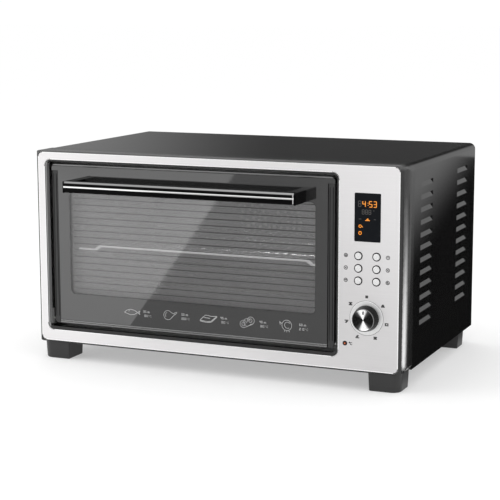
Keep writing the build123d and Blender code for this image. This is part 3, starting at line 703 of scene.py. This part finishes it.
strokes("button_signs", iconLines, plateFace, 0.8, printBlack, "casing")

# painted shadow: black rings on the plate stand in for the shade in the gap round each button
gapShadowLines = []
for number in range(1, 7):
    low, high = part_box("button_" + str(number))
    gapShadowLines.append(arc((low.x + high.x) / 2 / mm, (low.z + high.z) / 2 / mm, 5.25, 0, 360, 28))
strokes("button_gap_shadows", gapShadowLines, plateFace, 1.1, handleBlack, "casing", 0.5)


def roundedLoop(x0, x1, z0, z1, radius):
    loop = []
    for cx, cz, start in ((x1, z1, 0), (x0, z1, 90), (x0, z0, 180), (x1, z0, 270)):
        inX = -radius if cx == x1 else radius
        inZ = -radius if cz == z1 else radius
        loop += arc(cx + inX, cz + inZ, radius, start, start + 90, 8)
    return [loop + [loop[0]]]


# painted highlight: thin bright metal strokes standing in for the light caught along edges
def paintedEdgeHighlight(tap):
    rub = cloud(tap, 300.0)
    return {"Base Color": blendShade(tap, rub, grey(0.93), grey(1.0)), "Metallic": 1.0,
            "Roughness": 0.2 + rub * 0.1}


plateLow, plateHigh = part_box("fascia_plate")
opening = {"x": (-261.5, 187.8), "z": (44.3, 293.0), "corner": 9.0, "line": 1.1}
(x0, x1), (z0, z1) = opening["x"], opening["z"]
off = opening["line"] / 2
edgeHighlightLines = roundedLoop(x0 - off, x1 + off, z0 - off, z1 + off, opening["corner"] + off)
edgeHighlightLines += roundedLoop(plateLow.x / mm + off, plateHigh.x / mm - off, plateLow.z / mm + off,
                         plateHigh.z / mm - off, 5.5)
strokes("plate_edge_highlights", edgeHighlightLines, plateFace, opening["line"], paintedEdgeHighlight, "casing", 0.04)

knobCentre = (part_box("knob")[0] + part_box("knob")[1]) / 2
knobX, knobZ = knobCentre.x / mm, knobCentre.z / mm
dial = {"reach": 28.9, "angles": (38.6, -12.9, -64.3, -115.7, 192.9, 141.4)}
dialLines = [[(knobX - 0.05, knobZ + dial["reach"]), (knobX + 0.05, knobZ + dial["reach"])]]
strokes("dial_off_dot", dialLines, plateFace, 3.8, printBlack, "casing")
bezelRadius = (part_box("knob_bezel")[1].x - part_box("knob_bezel")[0].x) / 2 / mm
strokes("bezel_line", [arc(knobX, knobZ, bezelRadius + 0.2, 0, 360, 48)], plateFace, 0.6, printGrey, "casing")
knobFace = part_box("knob")[0].y
strokes("knob_pointer", [[(knobX, knobZ + 8.6), (knobX, knobZ + 10.6)]], knobFace, 1.7, printBlack, "selector")
dialShapes = (
    [[(-2, -1.2), (2, -1.2)], [(-1.4, 0.2), (1.4, 0.2)], [(-0.6, 1.4), (0.8, 1.4)]],
    [[(-1.8, 1.3), (1.8, 1.3)], [(-1.8, -1.3), (1.8, -1.3)], [(-1.8, -1.3), (-1.8, 1.3)],
     [(1.8, -1.3), (1.8, 1.3)]],
    [[(-1.8, 1.3), (1.8, 1.3)], [(-1.2, 0), (1.2, 0)], [(-1.8, -1.3), (1.8, -1.3)]],
    [[(-2, -1.5), (2, -1.5)], [(-1.2, 0), (0, 1.3)], [(0, 0), (1.2, 1.3)]],
    [[(-2, 1.5), (2, 1.5)], [(-1.2, -1.3), (0, 0)], [(0, -1.3), (1.2, 0)]],
    [[(-1.8, -1.5), (1.8, -1.5)], [(-1.8, 1.5), (1.8, 1.5)], [(-0.8, 0), (0.8, 0)], [(0, -0.8), (0, 0.8)]],
)
dialMarks = []
for angle, shape in zip(dial["angles"], dialShapes):
    turn = math.radians(angle)
    dialMarks += moved(shape, knobX + dial["reach"] * math.cos(turn), knobZ + dial["reach"] * math.sin(turn))
strokes("dial_marks", dialMarks, plateFace, 1.4, printBlack, "casing")

pilotCentre = (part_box("pilot_lamp")[0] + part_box("pilot_lamp")[1]) / 2
pilotX, pilotZ = pilotCentre.x / mm, pilotCentre.z / mm
strokes("pilot_ring", [arc(pilotX, pilotZ, 2.3, 0, 360, 28)], plateFace, 1.6, printBlack, "casing",
        0.4)
pilotMark = [arc(pilotX + 6.4, pilotZ + 1.6, 0.5, 0, 360, 8), arc(pilotX + 8.9, pilotZ, 1.5, 45, 315, 8)]
strokes("pilot_mark", pilotMark, plateFace, 0.8, printBlack, "casing")
print("fascia marks drawn")


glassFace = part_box("door_glass")[0].y
foodLines = {
    "fish": [[(-12, -1), (-8, 2.4), (-2, 4), (4, 3), (9, 0), (4, -3), (-2, -4), (-8, -2.4), (-12, -1)],
             [(9, 0), (13, 2.6)], [(9, 0), (13, -2.6)], [(13, 2.6), (12, 0), (13, -2.6)], [(-5, 1), (-4, 2)]],
    "drumstick": [arc(-3, -0.5, 6.6, 40, 320, 14), [(2, 3.7), (6, 2.2), (9, 4.2)],
                  [(2, -4.7), (6, -0.4), (9.6, 2.4)], [(9, 4.2), (10.6, 5), (11, 3.4), (9.6, 2.4)],
                  arc(-3.4, -0.4, 3.6, 110, 220, 6)],
    "slice": [[(-13, -3), (-5, 4.4), (-1, 4.6), (4, 3.4), (13, 4.2), (4, -3.6), (-3, -4.4), (-13, -3)],
              [(-13, -3), (-12.6, -4.4), (-3, -5.8), (4, -5), (13, 2.8), (13, 4.2)], [(-6, 1), (2, 0.6)]],
    "rolls": [arc(-5.5, -2.5, 5.2, 20, 300, 12), arc(0, 0.4, 5.2, 30, 250, 10),
              arc(5.5, 3.0, 5.2, -100, 200, 12), [(-3, -7), (8.8, -1.4)],
              arc(-5.5, -2.5, 2.6, 0, 360, 10), arc(4.8, 3.0, 2.6, 0, 360, 10)],
    "joint": [arc(0, 0, 7.2, 0, 360, 18), arc(1, 0.2, 4.4, 40, 300, 10), [(-7, 1.6), (-10.6, 4.6), (-9.6, 0.6)],
              [(-3, -6.6), (-3.6, -9)], [(3, -6.6), (3.6, -9)], [(0, -7.2), (0, -9.4)]],
}
foodPlaces = {"fish": (-126.8, 78.6), "drumstick": (-66.5, 79.4), "slice": (-6.3, 79.2), "rolls": (52.6, 78.6),
              "joint": (111.6, 79.6)}
foodTimes = {"fish": ("35", "180"), "drumstick": ("50", "200"), "slice": ("45", "190"), "rolls": ("40", "180"),
             "joint": ("60", "210")}
for name, (x, z) in foodPlaces.items():
    strokes("door_sign_" + name, moved(foodLines[name], x, z), glassFace, 0.6, printPale, "door")
    minutes, heat = foodTimes[name]
    labels = digitLines(minutes, x + 18.6, z + 0.9, 2.9, 2.7) + digitLines(heat, x + 18.6, z - 5.0, 2.9, 2.7)
    labels += [[(x + 25.2, z + 0.9), (x + 25.2, z + 2.7)], [(x + 26.6, z + 0.9), (x + 26.6, z + 2.7)]]
    labels += [[(x + 25.2, z + 2.7), (x + 28.0, z + 2.7), (x + 28.0, z + 0.9)]]
    labels += [arc(x + 27.2, z - 2.8, 0.5, 0, 360, 8), arc(x + 29.8, z - 3.6, 1.3, 50, 310, 8)]
    strokes("door_label_" + name, labels, glassFace, 0.5, printPale, "door")

# painted shade: two dark lines along each rail stand in for the shade in its grooves
for sideName in ("left", "right"):
    low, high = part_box("door_rail_" + sideName)
    middle = (low.x + high.x) / 2 / mm
    grooves = [[(middle + shift, 64), (middle + shift, 272)] for shift in (-2.2, 2.4)]
    strokes("rail_groove_shade_" + sideName, grooves, low.y, 0.8, handleBlack, "door", 0.08)

# painted highlight: a bright vertical stroke at the bar's end stands in for the light on its rounded end cap
barLow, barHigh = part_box("handle_bar")
endHighlightX = barHigh.x / mm - 0.9
strokes("handle_end_highlight", [[(endHighlightX, barLow.z / mm + 2.2), (endHighlightX, barHigh.z / mm - 2.2)]], barLow.y + 0.04 * mm,
        0.9, paintedEdgeHighlight, "door", 0.04)

windowLines = {"count": 16, "pitch": 9.45, "left": -227.5, "right": 154.0, "top": 245.6, "width": 1.2}
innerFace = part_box("window_glass")[0].y
ruled = []
for index in range(windowLines["count"]):
    z = windowLines["top"] - index * windowLines["pitch"]
    ruled.append([(windowLines["left"], z), (windowLines["right"], z)])
strokes("window_lines", ruled, innerFace, windowLines["width"], handleBlack, "door")
print("door marks drawn")
